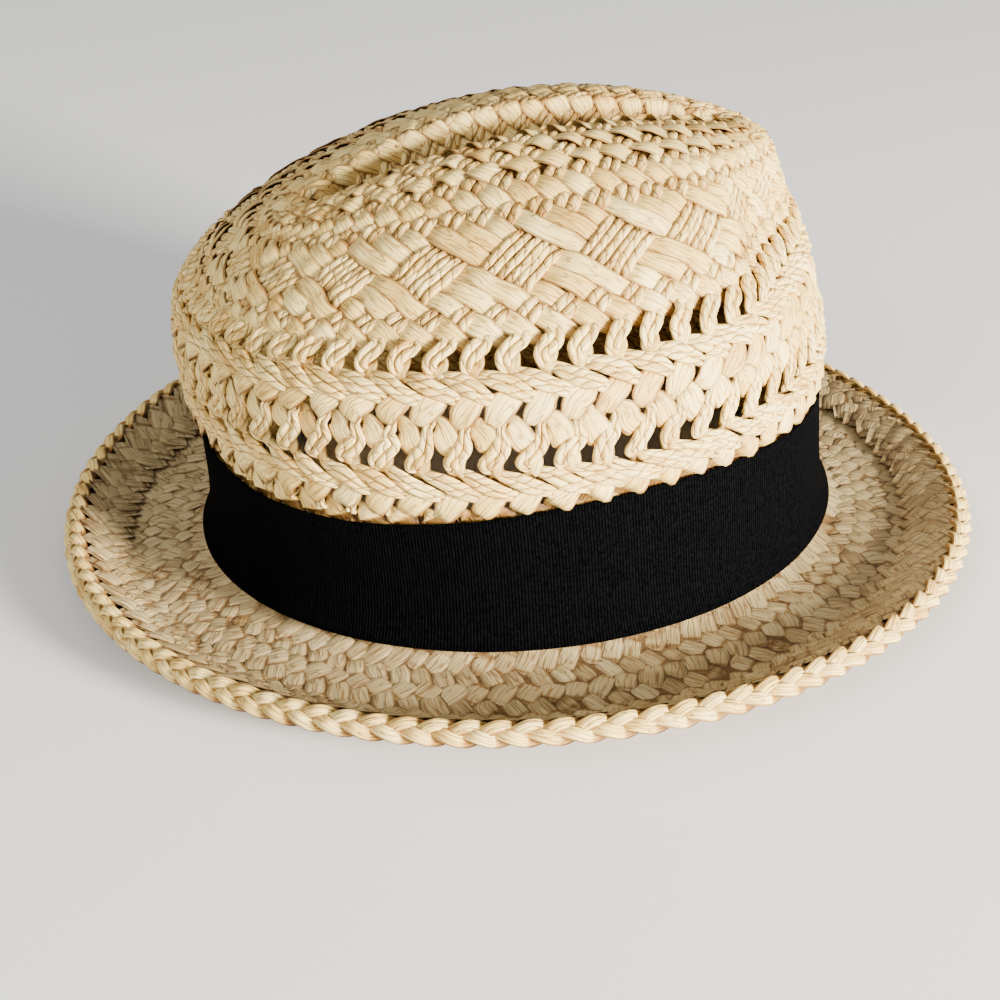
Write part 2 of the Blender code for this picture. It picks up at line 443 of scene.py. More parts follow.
# Where a strand of the pattern ends under the top weave: columns on from its foot, height and size.
PATTERN_LEAN = 6.5
CORD_END = (-1.6, 1.0)
FLAT_END = (-1.1, 8.5)
TOP_START_HEIGHT = -1.8
# Spacing of a pair's cords and width of the flats, below, in and above the patches.
CORD_SPACINGS = (1.5, 1.3, 1.7)
FLAT_WIDTHS = (7.0, 6.6, 7.6)
FLAT_WIDTH_ROWS = (3, 9)
# Strands are this much narrower where they lie under.
UNDER_SHARE = 0.9
# Sizes in the top weave where the flats lie over, and where they lie under.
TOP_CORD_SPACINGS = (1.5, 1.6)
TOP_FLAT_WIDTHS = (8.8, 7.4)


def flat_on_top(row, column):
    """Whether the flat lies over the cords at this crossing of the patterned part of the crown."""
    place = round(2 * ((column - PATCH_START) % PATCH_COLUMNS)) / 2 % PATCH_COLUMNS
    return place in FLAT_PLACES.get(row, ())


def patch_pull(row, column):
    """How far the cords bunch toward the middle of their patch, in columns and mm of height."""
    if not PATCH_ROWS[0] <= row <= PATCH_ROWS[1] or flat_on_top(row, column):
        return 0.0, 0.0
    half = PATCH_COLUMNS / 2
    place = (column - PATCH_START - PATCH_MIDDLE + half) % PATCH_COLUMNS - half
    side = place - (row - PATCH_MIDDLE_ROW) / 2
    pull = PATCH_PULL * np.clip(side, -1, 1)
    return -pull, PATCH_LIFT * pull


def by_zone(row, rows, values):
    """The first value below these rows, the second in them and the third above them."""
    return values[(row >= rows[0]) + (row > rows[1])]


def cord_knots(strand):
    """Knots of one cord pair from under the top weave down to the foot: column, arc, height, spacing."""
    knots = [(strand + PATTERN_LEAN, LOWER_ROWS[-1], *CORD_END)]
    for row in range(len(LOWER_ROWS) - 2, 0, -1):
        column = strand + row / 2
        under = flat_on_top(row, column)
        sideways, lift = patch_pull(row, column)
        spacing = by_zone(row, PATCH_ROWS, CORD_SPACINGS)
        height = CORD_LOWEST_UNDER if row == 1 else CORD_UNDER if under else CORD_OVER
        size = UNDER_SHARE * spacing if under else spacing
        knots.append((column + sideways, LOWER_ROWS[row] + lift, height, size))
    for period in range(2):
        for column, down, height, spacing in CORD_PERIOD[period:]:
            arc = POST_ARC - period * PERIOD - down
            knots.append((strand + period * CORD_SHIFT + column, arc, height, spacing))
    column = strand + 2 * CORD_SHIFT
    for i, down in enumerate(UNDER_BAND_ROWS):
        height = UNDER_BAND_HEIGHT - UNDER_BAND_SWAY * (-1) ** i
        knots.append((column - UNDER_BAND_LEAN * i, POST_ARC - down, height, UNDER_BAND_SPACING))
    return knots


def flat_knots(strand):
    """Knots of one flat from under the top weave down to the foot: column, arc, height, width."""
    knots = [(strand - PATTERN_LEAN, LOWER_ROWS[-1], *FLAT_END)]
    for row in range(len(LOWER_ROWS) - 2, 0, -1):
        column = strand - row / 2
        over = flat_on_top(row, column)
        width = by_zone(row, FLAT_WIDTH_ROWS, FLAT_WIDTHS)
        height = FLAT_OVER if over else FLAT_UNDER
        knots.append((column, LOWER_ROWS[row], height, width if over else UNDER_SHARE * width))
    for period in range(2):
        for column, down, height, width in FLAT_PERIOD:
            arc = POST_ARC - period * PERIOD - down
            knots.append((strand + period * FLAT_SHIFT + column, arc, height, width))
    column = strand + 2 * FLAT_SHIFT
    for i, down in enumerate(UNDER_BAND_ROWS):
        height = UNDER_BAND_HEIGHT + UNDER_BAND_SWAY * (-1) ** i
        knots.append((column + UNDER_BAND_LEAN * i, POST_ARC - down, height, UNDER_BAND_WIDTH))
    return knots


def top_knots(strand, lean, heights, sizes):
    """Knots of one strand of the plain top weave, from under the pattern up and over into the crease. Heights
    and sizes are for the rows where the flats lie over, and for the others."""
    knots = []
    for row, arc in enumerate(TOP_ROWS):
        flats_under = (row + 1) % 2
        height = heights[flats_under] if row else TOP_START_HEIGHT
        knots.append((strand + lean * row / 2, arc, height, sizes[flats_under]))
    return knots


# Where strands go in behind the ribbon: levels above its edge, and height under the wall's face.
FLAT_TUCK = (0.019, -1.3)
CORD_TUCK = (0.028, -2.0)
TUCK_SPAN = 0.010
# How far knots stray: in columns, in mm up the wall, in mm of height and as a share of the size.
CROWN_STRAY = (0.035, 0.28, 0.10, 0.06)
# Painted shade on the crown's straw: the height that counts as painted light 0, the darkest, the height from
# there to painted light 1, no shade, and the painted light behind the ribbon.
DEPTH_FLOOR = -1.6
DEPTH_SPAN = 2.6
HIDDEN_PAINTED_LIGHT = 0.8


def stray(knots, spread):
    """Moves knots a little at random. The last value is a size and is scaled."""
    for k in range(3):
        knots[..., k] += rng.normal(0, spread[k], knots.shape[:2])
    knots[..., 3] *= rng.normal(1, spread[3], knots.shape[:2])


def lay(knots, columns, samples, even, tuck):
    """Puts knots (strands, knots, 4) on the crown: centre, outward, last value and a painted light from 0 to
    1, for the painted shade of tucked-in straw.
    """
    knots = np.array(knots, dtype=float)
    stray(knots, CROWN_STRAY)
    curve = spline(knots, samples)
    level = level_of(curve[..., 1])
    if even:
        angle = even_angle(curve[..., 0] / columns, level)
    else:
        angle = FIRST_POST_ANGLE + FULL_TURN * curve[..., 0] / columns
    point, out = CROWN.at(angle, level)
    height = curve[..., 2]
    start, under = tuck
    band_level = wall_level(band_top(angle))
    tucked = share((band_level + start - level) / TUCK_SPAN)
    height = height * (1 - tucked) + np.minimum(height, under) * tucked
    # Painted shade: the lower a strand lies, the less painted light; behind the ribbon it gets a set amount.
    painted_light = share((height - DEPTH_FLOOR) / DEPTH_SPAN)
    hidden = share((band_level - level) / TUCK_SPAN)
    return point + out * height[..., None], out, curve[..., 3], painted_light * (1 - hidden) + HIDDEN_PAINTED_LIGHT * hidden


# The top weave's usual pitch in mm, and how far its strands narrow and widen with it.
USUAL_PITCH = 10.0
PITCH_SHARES = (0.35, 1.1)


def local_pitch(centre):
    """How close a strand lies to the next one, as a share of the usual pitch."""
    gap = np.linalg.norm(np.roll(centre, -1, 0) - centre, axis=-1)
    return np.clip(gap / USUAL_PITCH, *PITCH_SHARES)


# Materials

WHITE = (1.0, 1.0, 1.0)


class Shading:
    """A node material. Its methods add nodes and return an output."""

    def __init__(self, name, roughness, specular):
        self.material = bpy.data.materials.new(name)
        self.material.use_nodes = True
        self.nodes, self.links = self.material.node_tree.nodes, self.material.node_tree.links
        self.sockets = self.nodes["Principled BSDF"].inputs
        self.sockets["Roughness"].default_value = roughness
        self.sockets["Specular IOR Level"].default_value = specular

    def math(self, operation, *values):
        node = self.nodes.new("ShaderNodeMath")
        node.operation = operation
        for socket, value in zip(node.inputs, values):
            if isinstance(value, (int, float)):
                socket.default_value = value
            else:
                self.links.new(value, socket)
        return node.outputs[0]

    def add(self, first, second):
        return self.math("ADD", first, second)

    def multiply(self, first, second):
        return self.math("MULTIPLY", first, second)

    def swing(self, operation, phase):
        """Absolute sine or cosine."""
        return self.math("ABSOLUTE", self.math(operation, phase))

    def ramp(self, factor, stops):
        node = self.nodes.new("ShaderNodeValToRGB")
        ramp = node.color_ramp
        while len(ramp.elements) < len(stops):
            ramp.elements.new(0.5)
        for element, (position, colour) in zip(ramp.elements, stops):
            element.position = position
            element.color = (*colour, 1.0)
        self.links.new(factor, node.inputs[0])
        return node.outputs[0]

    def darken(self, colour, strength, factor, stops):
        """The colour multiplied by a ramp of the factor, as far as strength says."""
        node = self.nodes.new("ShaderNodeMix")
        node.data_type = "RGBA"
        node.blend_type = "MULTIPLY"
        node.inputs[0].default_value = strength
        self.links.new(colour, node.inputs[6])
        self.links.new(self.ramp(factor, stops), node.inputs[7])
        return node.outputs[2]

    def attribute(self, label):
        node = self.nodes.new("ShaderNodeAttribute")
        node.attribute_name = label
        return node.outputs["Fac"]

    def strand_uv(self):
        node = self.nodes.new("ShaderNodeUVMap")
        node.uv_map = "strand"
        return node.outputs[0]

    def own_place(self):
        return self.nodes.new("ShaderNodeTexCoord").outputs["Object"]

    def split(self, vector):
        """The first two parts of a vector."""
        node = self.nodes.new("ShaderNodeSeparateXYZ")
        self.links.new(vector, node.inputs[0])
        return node.outputs[0], node.outputs[1]

    def noise(self, vector, scale, detail):
        node = self.nodes.new("ShaderNodeTexNoise")
        node.inputs["Scale"].default_value = scale
        node.inputs["Detail"].default_value = detail
        self.links.new(vector, node.inputs["Vector"])
        return node.outputs["Fac"]

    def stretched_noise(self, vector, along, across, detail=1.0):
        mapping = self.nodes.new("ShaderNodeMapping")
        mapping.inputs["Scale"].default_value = (along, across, 1.0)
        self.links.new(vector, mapping.inputs["Vector"])
        return self.noise(mapping.outputs[0], 1.0, detail)

    def cover(self, colour, height, strength, distance):
        """Uses the colour, and the height as a bump, and returns the material."""
        node = self.nodes.new("ShaderNodeBump")
        node.inputs["Strength"].default_value = strength
        node.inputs["Distance"].default_value = distance * MM
        self.links.new(height, node.inputs["Height"])
        self.links.new(colour, self.sockets["Base Color"])
        self.links.new(node.outputs[0], self.sockets["Normal"])
        return self.material


# How fine the fibres and the folds are, along a strand and across a flat or around a cord.
FIBRES_ALONG, FOLDS_ALONG = 130.0, 70.0
FIBRES_ACROSS, FOLDS_ACROSS = 2400.0, 620.0
CORD_FIBRES_AROUND, CORD_FOLDS_AROUND = 15.0, 5.0
FOLD_SHARPNESS = 22.0
BLOTCH_SCALE = 110.0
FIBRE_DETAIL, BLOTCH_DETAIL, LINT_DETAIL = 4.0, 3.0, 2.0
STRAW_ROUGHNESS, STRAW_SPECULAR = 0.58, 0.4
# How much each counts in the tone.
FIBRE_WEIGHT, TINT_WEIGHT, BLOTCH_WEIGHT = 0.45, 0.22, 0.40
TONE_PLACES = (0.34, 0.52, 0.70)
# How much each counts in the bump, whose own full height is in mm.
FOLD_RELIEF, PLY_RELIEF, PLEAT_RELIEF = 0.6, 2.0, 0.9
STRAW_BUMP = 0.28
# Painted shade that darkens straw in its folds, at its edges, in the grooves of its plies and pleats, and
# where it lies sunk: each as a ramp and how far it counts.
FOLD_SHADE = ((0.0, (0.46, 0.31, 0.17)), (0.8, WHITE))
FOLD_STRENGTH = 0.85
EDGE_SHADE = ((0.72, WHITE), (0.95, (0.25, 0.145, 0.065)))
ROUND_EDGE_SHADE = ((0.80, WHITE), (1.0, (0.36, 0.22, 0.12)))
PLY_SHADE = ((0.12, (0.34, 0.21, 0.10)), (0.62, WHITE))
LINE_STRENGTH = 0.9
PLEAT_SHADE = ((0.15, (0.56, 0.42, 0.28)), (0.5, WHITE))
PLEAT_STRENGTH = 0.55
SUNK_SHADE = ((0.0, (0.16, 0.10, 0.05)), (0.36, (0.49, 0.365, 0.235)), (0.62, WHITE))
# Powers that round the backs of plies and pleats, and the plies of a cord.
PLY_POWER, PLEAT_POWER = 0.5, 0.6
PLIES = 2.0
# The ply lines wander by this many half turns, and the pleats by this many radians.
PLY_WANDER, PLY_WANDER_ALONG = 1.4, 160.0
PLEAT_BEND, PLEAT_BEND_ALONG, PLEAT_BEND_ACROSS = 5.0, 120.0, 60.0


def straw_material(name, tones, ply_pitch=None, pleats=0.0, shade_edges=True, shade_round_edges=0.0):
    """Straw with fibres along each strand, and painted shade in its folds. With a ply pitch it is a cord laid
    up from two plies, with painted shade in the grooves between them. Pleats are counted to the mm across it
    and get painted shade in their grooves; with edges a flat gets painted shadow at its edges, and round
    edges give the way around a strand that gets painted shade at its sides."""
    straw = Shading(name, STRAW_ROUGHNESS, STRAW_SPECULAR)
    uv = straw.strand_uv()
    along, across = straw.split(uv)
    fibre_scale = CORD_FIBRES_AROUND if ply_pitch else FIBRES_ACROSS
    fold_scale = CORD_FOLDS_AROUND if ply_pitch else FOLDS_ACROSS
    fibre = straw.stretched_noise(uv, FIBRES_ALONG, fibre_scale, FIBRE_DETAIL)
    wave = straw.stretched_noise(uv, FOLDS_ALONG, fold_scale)
    off_middle = straw.math("ABSOLUTE", straw.math("SUBTRACT", wave, 0.5))
    fold = straw.math("MINIMUM", straw.multiply(off_middle, FOLD_SHARPNESS), 1.0)
    blotch = straw.noise(straw.own_place(), BLOTCH_SCALE, BLOTCH_DETAIL)
    tone = straw.multiply(fibre, FIBRE_WEIGHT)
    tone = straw.add(tone, straw.multiply(straw.attribute("tint"), TINT_WEIGHT))
    tone = straw.add(tone, straw.multiply(blotch, BLOTCH_WEIGHT))
    colour = straw.ramp(tone, list(zip(TONE_PLACES, reversed(tones))))
    # Painted shade along the fold lines.
    colour = straw.darken(colour, FOLD_STRENGTH, fold, FOLD_SHADE)
    height = straw.add(fibre, straw.multiply(fold, FOLD_RELIEF))
    # Painted shadow at a flat's edges, where it meets the next strand.
    if shade_edges and not ply_pitch:
        side = straw.math("DIVIDE", straw.math("ABSOLUTE", across), EDGE_PLACE * MM)
        colour = straw.darken(colour, LINE_STRENGTH, side, EDGE_SHADE)
    # Painted shade at the sides of a round strand.
    if shade_round_edges:
        turn = straw.multiply(across, 2 * math.pi / (shade_round_edges * MM))
        colour = straw.darken(colour, LINE_STRENGTH, straw.swing("COSINE", turn), ROUND_EDGE_SHADE)
    if ply_pitch:
        wander = straw.multiply(straw.stretched_noise(uv, PLY_WANDER_ALONG, 1.0), PLY_WANDER)
        phase = straw.add(straw.multiply(along, 1.0 / (ply_pitch * MM)), straw.multiply(across, PLIES))
        wave = straw.swing("SINE", straw.multiply(straw.add(phase, wander), math.pi))
        ply = straw.math("POWER", wave, PLY_POWER)
        # Painted shade in the grooves between the plies.
        colour = straw.darken(colour, LINE_STRENGTH, ply, PLY_SHADE)
        height = straw.add(straw.multiply(ply, PLY_RELIEF), height)
    if pleats:
        bend = straw.multiply(straw.stretched_noise(uv, PLEAT_BEND_ALONG, PLEAT_BEND_ACROSS), PLEAT_BEND)
        wave = straw.swing("SINE", straw.add(straw.multiply(across, pleats * math.pi / MM), bend))
        pleat = straw.math("POWER", wave, PLEAT_POWER)
        # Painted shade in the grooves between the pleats.
        colour = straw.darken(colour, PLEAT_STRENGTH, pleat, PLEAT_SHADE)
        height = straw.add(straw.multiply(pleat, PLEAT_RELIEF), height)
    # Painted shade where the straw lies tucked in or sunk, set by its painted light.
    colour = straw.darken(colour, 1.0, straw.attribute("painted_light"), SUNK_SHADE)
    return straw.cover(colour, height, 1.0, STRAW_BUMP)


# Ribbon cloth, pitches in mm.
RIB_PITCH = 0.95
THREAD_PITCH = 0.4
LINT_SCALE = 900.0
# Tone of the black cloth, up to the painted highlight on the ribs' crests.
RIBBON_TONES = ((0.22, (0.0002, 0.0002, 0.0003)), (0.62, (0.0036, 0.0038, 0.0045)))
# Painted highlight on the ribs' crests and threads and painted shade in their grooves: how light the ribs'
# grooves stay, and how much the threads count in the tone and in the bump.
GROOVE_LIGHT = 0.2
THREAD_SHADE = 0.22
THREAD_RELIEF = 0.08
RIBBON_BUMP, RIBBON_BUMP_STRENGTH = 0.25, 0.8
RIBBON_ROUGHNESS, RIBBON_SPECULAR = 1.0, 0.02


def ribbon_material():
    """Black cloth with ribs across its length and threads along it, with painted highlights on the ribs'
    crests and threads and painted shade in the grooves.
    """
    cloth = Shading("ribbon_cloth", RIBBON_ROUGHNESS, RIBBON_SPECULAR)
    along, across = cloth.split(cloth.strand_uv())
    rib = cloth.swing("SINE", cloth.multiply(along, math.pi / (RIB_PITCH * MM)))
    thread = cloth.math("SINE", cloth.multiply(across, 2 * math.pi / (THREAD_PITCH * MM)))
    lint = cloth.noise(cloth.own_place(), LINT_SCALE, LINT_DETAIL)
    thread_highlight = cloth.add(cloth.multiply(thread, THREAD_SHADE), 1.0 - THREAD_SHADE)
    # Painted highlight on the ribs' crests and the threads, painted shade in the grooves.
    tone = cloth.multiply(cloth.multiply(lint, cloth.add(rib, GROOVE_LIGHT)), thread_highlight)
    height = cloth.add(rib, cloth.multiply(thread, THREAD_RELIEF))
    return cloth.cover(cloth.ramp(tone, RIBBON_TONES), height, RIBBON_BUMP_STRENGTH, RIBBON_BUMP)


# Light, middle and dark straw.
FLAT_TONES = ((0.98, 0.77, 0.30), (0.88, 0.61, 0.18), (0.66, 0.38, 0.08))
CORD_TONES = ((0.99, 0.79, 0.32), (0.91, 0.65, 0.22), (0.72, 0.43, 0.10))
# The brim's straw: a darker copy of the crown's, painted shade for the brim.
SHADED_BRIM_TONES = ((0.63, 0.49, 0.245), (0.52, 0.385, 0.172), (0.32, 0.215, 0.09))
# Dark straw of the sheet inside the brim, painted shade between its strands.
CORE_SHADE_TONES = ((0.44, 0.33, 0.17), (0.34, 0.245, 0.12), (0.20, 0.135, 0.06))
PLY_PITCH = 4.4
RIM_AROUND = 14.0
# Pleats to the mm across a strand.
BRIM_PLEATS, RIM_PLEATS = 0.34, 0.5
flat_straw = straw_material("straw_flats", FLAT_TONES)
cord_straw = straw_material("straw_cords", CORD_TONES, ply_pitch=PLY_PITCH)
# The brim's plaits take the darker tones, painted shade.
brim_straw = straw_material("straw_brim_shaded", SHADED_BRIM_TONES)
shaded_pleat_straw = straw_material("straw_pleats_shaded", SHADED_BRIM_TONES, pleats=BRIM_PLEATS)
rim_straw = straw_material("straw_rim", FLAT_TONES, pleats=RIM_PLEATS, shade_edges=False, shade_round_edges=RIM_AROUND)
# Painted shade: dark straw for the sheet between the brim's strands.
core_shade_straw = straw_material("straw_core_shade", CORE_SHADE_TONES, shade_edges=False)

# Crown

CORD_RADIUS = 1.02
CORD_HEIGHTS = (0.7, 1.2)
# How far a cord lies from the middle of its pair, as a share of its half width.
CORD_OFFSET = 0.97
LOWER_SAMPLES = 3
TOP_SAMPLES = 4
# Height of a flat's one edge over its middle.
LOWER_TILT = 0.42
TOP_TILT = 0.4


def cord_pair(name, knots, columns, samples, even):
    """Two pieces, one for each cord of every pair."""
    cord, out, spacing, painted_light = lay(knots, columns, samples, even, CORD_TUCK)
    if even:
        spacing = spacing * local_pitch(cord)
    wide = CORD_RADIUS * spacing
    high = CORD_RADIUS * np.clip(np.sqrt(spacing), *CORD_HEIGHTS)
    pieces = []
    for label, side in (("first", -1), ("second", 1)):
        offset = side * CORD_OFFSET * wide
        piece = cords(f"{name}_{label}", cord, out, offset, wide, high, painted_light, cord_straw)
        pieces.append(piece)
    return pieces


def build_crown():
    knots = [flat_knots(strand) for strand in range(COLUMNS)]
    flats, out, width, painted_light = lay(knots, COLUMNS, LOWER_SAMPLES, False, FLAT_TUCK)
    pieces = [ribbons("crown_flats", flats, out, width, painted_light, flat_straw, "crown_straw", LOWER_TILT)]
    knots = [cord_knots(strand) for strand in range(COLUMNS)]
    pieces += cord_pair("crown_cords", knots, COLUMNS, LOWER_SAMPLES, False)
    heights = (FLAT_OVER, FLAT_UNDER)
    knots = [top_knots(strand, -1, heights, TOP_FLAT_WIDTHS) for strand in range(TOP_COLUMNS)]
    flats, out, width, painted_light = lay(knots, TOP_COLUMNS, TOP_SAMPLES, True, FLAT_TUCK)
    width = width * local_pitch(flats)
    pieces.append(ribbons("crown_top_flats", flats, out, width, painted_light, flat_straw, "crown_straw", TOP_TILT))
    heights = (CORD_UNDER, CORD_OVER)
    knots = [top_knots(strand, 1, heights, TOP_CORD_SPACINGS) for strand in range(TOP_COLUMNS)]
    pieces += cord_pair("crown_top_cords", knots, TOP_COLUMNS, TOP_SAMPLES, True)
    for piece in pieces:
        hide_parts("crown")


# Brim

BRIM_COLUMNS = 100
# Middle of the brim's thickness: out, share of width, height, share of rise.
BRIM_LINE = (
    (-0.6, 0.0, 8.0, 0.0),
    (1.0, 0.0, 6.3, 0.0),
    (4.0, 0.0, 4.4, 0.0),
    (9.0, 0.0, 3.4, 0.0),
    (0.0, 0.42, 2.3, 0.0),
    (0.0, 0.58, 1.7, 0.0),
    (0.0, 0.70, 1.9, 0.06),
    (0.0, 0.84, 2.5, 0.44),
    (0.0, 1.0, 2.6, 1.0),
)
BRIM_TOP_LEVEL = len(BRIM_LINE) - 1
BRIM_LEVELS = 161
BRIM_LINE_SAMPLES = 8


def brim_width(angle):
    return BRIM_SIDE_REACH * np.cos(angle) ** 2 + BRIM_END_REACH * np.sin(angle) ** 2 - EDGE_WIDTH


def rim_rise(angle):
    return RIM_RISE + RIM_BACK_RISE * np.sin(angle) + RIM_SIDE_RISE * np.cos(2 * angle)


def around_head(angle, out, height):
    """Points this far outside the head's oval."""
    x = (HEAD_HALF_WIDTH + out) * np.cos(angle)
    y = (HEAD_HALF_LENGTH + out) * np.sin(angle)
    return np.stack([x, y, height], -1)


def brim_surface(angle, level):
    """Middle of the brim: level runs from 0 under the band to the rim, one for each point of its line."""
    angle, level = np.broadcast_arrays(angle, level)
    width, rise = brim_width(angle), rim_rise(angle)
    outs = np.stack([o + s * width for o, s, _, _ in BRIM_LINE], -1)
    heights = np.stack([h + r * rise for _, _, h, r in BRIM_LINE], -1)
    knots = np.stack([outs, heights], -1).reshape(-1, len(BRIM_LINE), 2)
    curve = spline(knots, BRIM_LINE_SAMPLES)
    place = level.reshape(-1) * BRIM_LINE_SAMPLES
    i = np.clip(np.floor(place).astype(int), 0, curve.shape[1] - 2)
    f = (place - i)[:, None]
    rows = np.arange(len(place))
    point = (curve[rows, i] * (1 - f) + curve[rows, i + 1] * f).reshape(*angle.shape, 2)
    return around_head(angle, point[..., 0], point[..., 1])


BRIM = Skin(brim_surface, BRIM_TOP_LEVEL, BRIM_LEVELS)
BRIM_SPANS = np.linalg.norm(np.diff(BRIM.points[0], axis=0), axis=1)
BRIM_SHARES = np.concatenate([[0], np.cumsum(BRIM_SPANS)]) / BRIM_SPANS.sum()

# How far knots stray: in columns, as a share of the way across, in mm of height and as a share of the width.
BRIM_STRAY = (0.06, 0.006, 0.10, 0.07)
# Strands of the brim are this share of their width where they lie under.
BRIM_UNDER_SHARE = 0.84
# Distance from the hat's middle in mm at which strands have their stated width.
BRIM_WIDTH_RADIUS = 120.0
BRIM_TILT = 0.12
# Painted shade on the brim's strands: painted light at the middle of the brim, and how much more painted
# light a strand gets where it is on either face.
BRIM_MIDDLE_DEPTH = 0.2
BRIM_FACE_DEPTH = 1.1
# Each family of the brim: name, lean, on top in even rows, width, height on top.
BRIM_FAMILIES = (("pleats", 1, True, 7.5, 0.31), ("flats", -1, False, 9.0, 0.35))
BRIM_ROWS = 8
BRIM_SAMPLES = 4
HEM_ROWS = 3
HEM_START = 0.69
HEM_LIFT = 1.5
# The dark sheet in the middle of the brim, painted shade seen between the strands: its grid, how far it runs
# on under the rim, its half thickness and its painted light.
CORE_STEPS = 30
CORE_ANGLES = 360
CORE_END = 2.6
CORE_HALF_THICKNESS = 0.06
CORE_AROUND = 90
CORE_PAINTED_LIGHT = 0.3


def brim_level(part):
    """Level at this share of the way across the brim, measured along its surface."""
    return np.interp(part, BRIM_SHARES, np.linspace(0, BRIM_TOP_LEVEL, BRIM_LEVELS))


def plait(rows, start, lean, over_first, amplitude, width, lift=0.0):
    """Strands of a plain diagonal plait on the brim, from this share of its width to the rim."""
    knots = []
    for strand in range(BRIM_COLUMNS):
        line = []
        for row in range(rows + 1):
            part = start + (1.0 - start) * row / rows
            over = (row % 2 == 0) == over_first
            size = width * (1.0 if over else BRIM_UNDER_SHARE)
            line.append((strand + lean * row / 2, part, lift + (amplitude if over else -amplitude), size))
        knots.append(line)
    knots = np.array(knots, dtype=float)
    stray(knots, BRIM_STRAY)
    curve = spline(knots, BRIM_SAMPLES)
    angle = FULL_TURN * curve[..., 0] / BRIM_COLUMNS
    point, out = BRIM.at(angle, brim_level(share(curve[..., 1])))
    out = -out
    widening = np.linalg.norm(point[..., :2], axis=-1) / BRIM_WIDTH_RADIUS
    height = curve[..., 2]
    # Painted light, low where a strand lies in the middle and crosses under: painted shade.
    painted_light = share(BRIM_MIDDLE_DEPTH + BRIM_FACE_DEPTH * np.abs(height - lift) / amplitude)
    return point + out * height[..., None], out, curve[..., 3] * widening, painted_light


def closed_layer(face, back):
    """Rings of a layer that goes right round: out along the face and back along the other one."""
    rings = np.concatenate([face, back[:, ::-1]], 1)
    return np.concatenate([rings, rings[:1]], 0)[None]


def build_shade_core():
    """Closed thin layer in the middle of the brim, a dark sheet of painted shade between the strands."""
    turn = np.linspace(0, FULL_TURN, CORE_ANGLES, endpoint=False)[:, None]
    level = brim_level(np.linspace(0, 1, CORE_STEPS))[None, :]
    point, out = BRIM.at(*np.broadcast_arrays(turn, level))
    end = point[:, -1:] + CORE_END * unit(point[:, -1:] - point[:, -2:-1])
    point, out = np.concatenate([point, end], 1), np.concatenate([out, out[:, -1:]], 1)
    rings = closed_layer(point - CORE_HALF_THICKNESS * out, point + CORE_HALF_THICKNESS * out)
    around = np.linspace(0, CORE_AROUND, rings.shape[2] + 1)
    shade = np.full((1, rings.shape[1]), CORE_PAINTED_LIGHT)
    return strand_mesh("brim_shade_core", rings, around, PLAIN_TINT, shade, True, core_shade_straw)


def build_brim():
    pieces = [build_shade_core()]
    for label, lean, over, width, amplitude in BRIM_FAMILIES:
        material = shaded_pleat_straw if label == "pleats" else brim_straw
        laid = plait(BRIM_ROWS, 0.0, lean, over, amplitude, width)
        pieces.append(ribbons(f"brim_{label}", *laid, material, "brim_straw", BRIM_TILT))
        laid = plait(HEM_ROWS, HEM_START, lean, not over, amplitude, width, HEM_LIFT)
        pieces.append(ribbons(f"hem_{label}", *laid, material, "brim_straw", BRIM_TILT))
    for piece in pieces:
        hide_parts("brim")


# Rim plait

RIM_STRANDS = 3
RIM_TINTS = (0.3, 0.6, 0.9)
RIM_LOOPS = 36
RIM_SAMPLES = 1320
RIM_POINTS = 10
# Middle of the plait, out from the end of the brim and up from the middle of its hem.
RIM_OUT = 3.8
RIM_LIFT = 0.4
RIM_HALF_SPREAD = 1.95
RIM_HALF_LIFT = 1.3
RIM_STRAND_HALF_WIDTH = 2.05
RIM_STRAND_HALF_HEIGHT = 1.1
RIM_TILT = math.radians(40)
RIM_STRAND_LEAN = 0.25
# Painted shade where the rim's strands sink: the lift, in half lifts, that counts as painted light 0, the
# darkest, and the lift from there to painted light 1, no shade.
RIM_DEPTH_FLOOR = -1.2
RIM_DEPTH_SPAN = 1.6


def build_rim():
    """Plait of three strands, which swing once sideways while they rise and sink twice."""
    turn = np.linspace(0, FULL_TURN, RIM_SAMPLES, endpoint=False)[None, :]
    phase = FULL_TURN * np.arange(RIM_STRANDS)[:, None] / RIM_STRANDS
    swing = RIM_LOOPS * turn + phase
    middle = around_head(turn, brim_width(turn) + RIM_OUT, HEM_MIDDLE + RIM_LIFT + rim_rise(turn))
    level = np.stack([np.cos(turn), np.sin(turn), 0 * turn], -1)
    upward = np.array([0.0, 0.0, 1.0])
    spread_way = math.cos(RIM_TILT) * level - math.sin(RIM_TILT) * upward
    lift_way = math.sin(RIM_TILT) * level + math.cos(RIM_TILT) * upward
    sideways = RIM_HALF_SPREAD * np.sin(swing)
    lift = RIM_HALF_LIFT * np.sin(2 * swing)
    centre = middle + spread_way * sideways[..., None] + lift_way * lift[..., None]
    along = unit(np.roll(centre, -1, 1) - np.roll(centre, 1, 1))
    across = unit(np.cross(lift_way + RIM_STRAND_LEAN * spread_way * np.sin(swing)[..., None], along))
    over = np.cross(along, across)
    ring = np.linspace(0, FULL_TURN, RIM_POINTS, endpoint=False)[None, None, :, None]
    wide, high = RIM_STRAND_HALF_WIDTH * np.cos(ring), RIM_STRAND_HALF_HEIGHT * np.sin(ring)
    rings = centre[:, :, None] + across[:, :, None] * wide + over[:, :, None] * high
    rings = np.concatenate([rings, rings[:, :1]], 1)
    # Painted light for the painted shade where the strands sink under the others.
    painted_light = share((lift / RIM_HALF_LIFT - RIM_DEPTH_FLOOR) / RIM_DEPTH_SPAN)
    painted_light = np.concatenate([painted_light, painted_light[:, :1]], 1)
    around = np.linspace(0, RIM_AROUND, RIM_POINTS + 1)
    piece = strand_mesh("rim_plait", rings, around, np.array(RIM_TINTS), painted_light, True, rim_straw)
    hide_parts("brim_edge_braid")


# Ribbon

